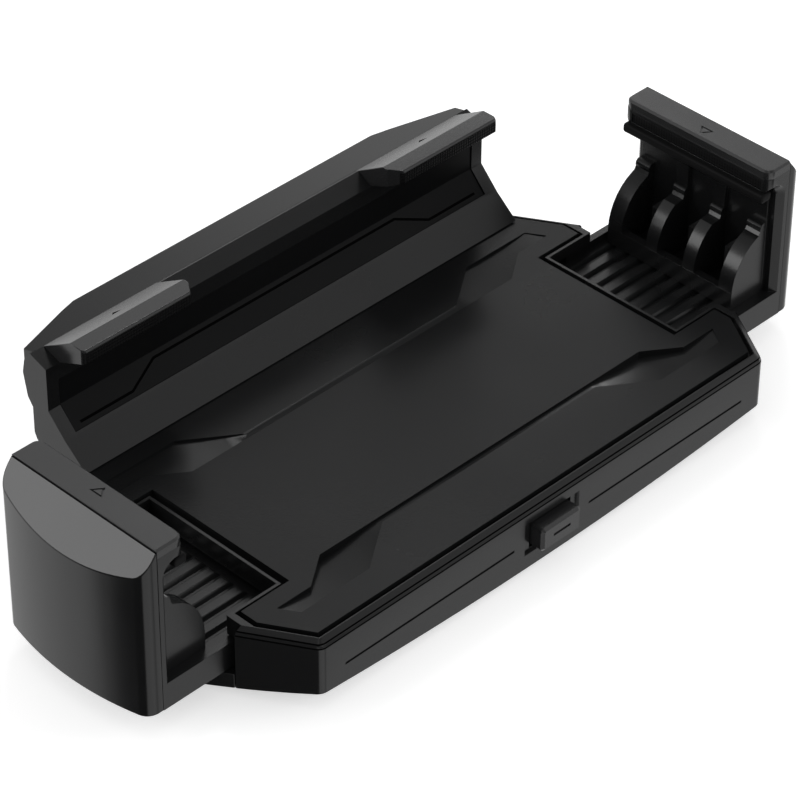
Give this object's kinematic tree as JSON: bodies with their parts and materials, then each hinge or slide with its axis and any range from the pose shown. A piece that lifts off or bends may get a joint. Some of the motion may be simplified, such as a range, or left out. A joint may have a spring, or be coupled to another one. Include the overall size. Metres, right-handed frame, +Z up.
{
  "type": "phone holder",
  "caption": "Phone holder for a game pad: flat base with a soft mat, sliding end clamps on a rack and pinion, a folding rear stop and a release button.",
  "frame": {"origin": "centre of the flat underside that the holder rests on", "axes": "+X along the phone towards the right clamp, -Y towards the release button, +Z up"},
  "size_m": [0.1802, 0.0912, 0.0426],
  "materials": {
    "shell_plastic": "fine matte",
    "grip_plastic": "satin",
    "trim_plastic": "satin",
    "mat_rubber": "matte",
    "pad_rubber": "matte",
    "inner_plastic": "natural",
    "steel": "plain"
  },
  "bodies": {
    "base": {"upper_housing": "shell_plastic", "bottom_cover": "shell_plastic", "top_mat": "mat_rubber", "housing_screws": "steel", "pinion_axle": "steel", "hinge_pins": "steel"},
    "button": {"release_button": "trim_plastic", "lock_plate": "inner_plastic", "button_spring": "steel"},
    "pinion": {"pinion_gear": "inner_plastic"},
    "right_clamp": {"right_arm": "shell_plastic", "right_rack": "inner_plastic", "right_cap": "trim_plastic", "right_lip_band": "pad_rubber", "right_lip_pad": "pad_rubber", "right_back_plate": "shell_plastic", "right_rib_cradle": "shell_plastic", "right_grip_shell": "grip_plastic"},
    "left_clamp": {"left_arm": "shell_plastic", "left_rack": "inner_plastic", "left_cap": "trim_plastic", "left_lip_band": "pad_rubber", "left_lip_pad": "pad_rubber", "left_back_plate": "shell_plastic", "left_rib_cradle": "shell_plastic", "left_grip_shell": "grip_plastic"},
    "rear_stop": {"flap_shell": "shell_plastic", "flap_panel": "shell_plastic", "flap_back_cover": "grip_plastic", "right_hook": "trim_plastic", "left_hook": "trim_plastic", "right_hook_band": "pad_rubber", "left_hook_band": "pad_rubber"}
  },
  "joints": [
    {"name": "right_slide", "type": "slide", "parent": "base", "child": "right_clamp", "axis": [1, 0, 0], "range_m": [-0.013, 0.008]},
    {"name": "left_slide", "type": "slide", "parent": "base", "child": "left_clamp", "axis": [-1, 0, 0], "range_m": [-0.013, 0.008]},
    {"name": "pinion_spin", "type": "hinge", "parent": "base", "child": "pinion", "pos_m": [0, 0, 0.0076], "axis": [0, 0, 1], "range_deg": [-149.5, 92]},
    {"name": "button_press", "type": "slide", "parent": "base", "child": "button", "axis": [0, 1, 0], "range_m": [0, 0.0018], "stiffness_N_per_m": 400, "springref_m": -0.0015},
    {"name": "rear_stop_fold", "type": "hinge", "parent": "base", "child": "rear_stop", "pos_m": [0, 0.0396, 0.015], "axis": [-1, 0, 0], "range_deg": [0, 70], "stiffness_Nm_per_rad": 0.03, "springref_deg": -34.38}
  ],
  "couplings": [
    {"joint": "left_slide", "follows": "right_slide", "ratio": 1},
    {"joint": "pinion_spin", "follows": "right_slide", "rad_per_m": 200}
  ]
}
